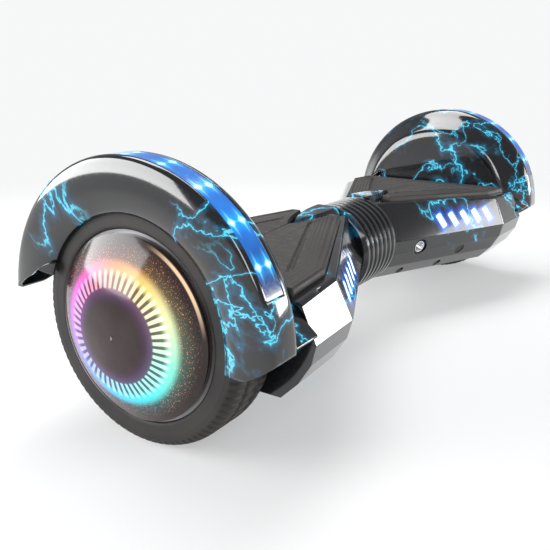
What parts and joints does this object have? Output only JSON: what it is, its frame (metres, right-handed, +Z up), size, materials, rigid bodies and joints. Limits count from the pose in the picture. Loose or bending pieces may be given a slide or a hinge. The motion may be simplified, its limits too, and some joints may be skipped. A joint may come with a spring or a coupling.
{
  "type": "self balancing hoverboard",
  "caption": "Two-wheeled self balancing board: twisting halves with foot pads, hub motor wheels, lit fenders and front light bars.",
  "frame": {"origin": "on the ground under the middle of the board, midway between the wheels", "axes": "+X along the wheel axle, -Y the front with the light bars, +Z up"},
  "size_m": [0.602, 0.2196, 0.1925],
  "materials": {
    "tyre_rubber": "matt moulded rubber",
    "motor_alloy": "turned aluminium",
    "bearing_steel": "ground steel",
    "magnet_nickel": "nickel plated",
    "lamination_steel": "stacked steel",
    "copper_wire": "enamelled copper wire",
    "axle_steel": "zinc plated steel",
    "circuit_board": "green circuit board",
    "hub_tint": "tinted glossy polycarbonate",
    "cast_alloy": "cast aluminium",
    "screw_steel": "blackened steel",
    "gloss_black": "glossy black moulding with a branching cyan pattern",
    "blue_window": "translucent blue window",
    "lamp_white": "diffusing lamp bars",
    "pad_rubber": "grooved dark rubber",
    "bush_bronze": "sintered bronze",
    "battery_wrap": "shrink wrapped cell pack",
    "wire_sleeve": "woven wire sleeve",
    "speaker_black": "matt black",
    "socket_chrome": "plated metal socket",
    "button_black": "glossy black button"
  },
  "bodies": {
    "left_half": {"left_axle": "axle_steel", "left_axle_clamp": "cast_alloy", "left_bottom_shell": "gloss_black", "left_chassis": "cast_alloy", "left_fender": "gloss_black", "left_fender_led_strip": "circuit_board", "left_fender_lens": "blue_window", "left_foot_sensor_board": "circuit_board", "left_front_light_board": "circuit_board", "left_front_light_lens": "lamp_white", "left_nose": "gloss_black", "left_pivot_bushes": "bush_bronze", "left_screws": "screw_steel", "left_stator_core": "lamination_steel", "left_top_shell": "gloss_black", "left_windings": "copper_wire", "battery_pack": "battery_wrap", "battery_strap": "screw_steel", "pivot_tube": "axle_steel", "retaining_ring": "screw_steel", "wire_bundle": "wire_sleeve", "knuckle_cover": "gloss_black"},
    "right_half": {"right_axle": "axle_steel", "right_axle_clamp": "cast_alloy", "right_bottom_shell": "gloss_black", "right_chassis": "cast_alloy", "right_fender": "gloss_black", "right_fender_led_strip": "circuit_board", "right_fender_lens": "blue_window", "right_foot_sensor_board": "circuit_board", "right_front_light_board": "circuit_board", "right_front_light_lens": "lamp_white", "right_nose": "gloss_black", "right_pivot_bushes": "bush_bronze", "right_screws": "screw_steel", "right_stator_core": "lamination_steel", "right_top_shell": "gloss_black", "right_windings": "copper_wire", "main_board": "circuit_board", "speaker": "speaker_black", "charge_port": "socket_chrome", "button_housing": "speaker_black"},
    "left_wheel": {"left_tyre": "tyre_rubber", "left_rim": "motor_alloy", "left_motor_cover": "motor_alloy", "left_wheel_bearings": "bearing_steel", "left_magnet_ring": "magnet_nickel", "left_hub_light_board": "circuit_board", "left_hub_cover": "hub_tint"},
    "right_wheel": {"right_tyre": "tyre_rubber", "right_rim": "motor_alloy", "right_motor_cover": "motor_alloy", "right_wheel_bearings": "bearing_steel", "right_magnet_ring": "magnet_nickel", "right_hub_light_board": "circuit_board", "right_hub_cover": "hub_tint"},
    "left_pad": {"left_foot_pad": "pad_rubber"},
    "right_pad": {"right_foot_pad": "pad_rubber"},
    "power_button": {"power_button": "button_black"}
  },
  "joints": [
    {"name": "twist", "type": "hinge", "parent": "left_half", "child": "right_half", "pos_m": [0, 0, 0.078], "axis": [1, 0, 0], "range_deg": [-12, 12], "stiffness_Nm_per_rad": 8},
    {"name": "left_wheel_spin", "type": "hinge", "parent": "left_half", "child": "left_wheel", "pos_m": [-0.26, 0, 0.0825], "axis": [1, 0, 0], "continuous": true},
    {"name": "right_wheel_spin", "type": "hinge", "parent": "right_half", "child": "right_wheel", "pos_m": [0.26, 0, 0.0825], "axis": [1, 0, 0], "continuous": true},
    {"name": "left_pad_press", "type": "slide", "parent": "left_half", "child": "left_pad", "axis": [0.0558, 0, -0.9984], "range_m": [0, 0.0015], "stiffness_N_per_m": 8000},
    {"name": "right_pad_press", "type": "slide", "parent": "right_half", "child": "right_pad", "axis": [-0.0558, 0, -0.9984], "range_m": [0, 0.0015], "stiffness_N_per_m": 8000},
    {"name": "power_button_press", "type": "slide", "parent": "right_half", "child": "power_button", "axis": [0.348, 0.7698, 0.5351], "range_m": [0, 0.0015], "stiffness_N_per_m": 600}
  ]
}
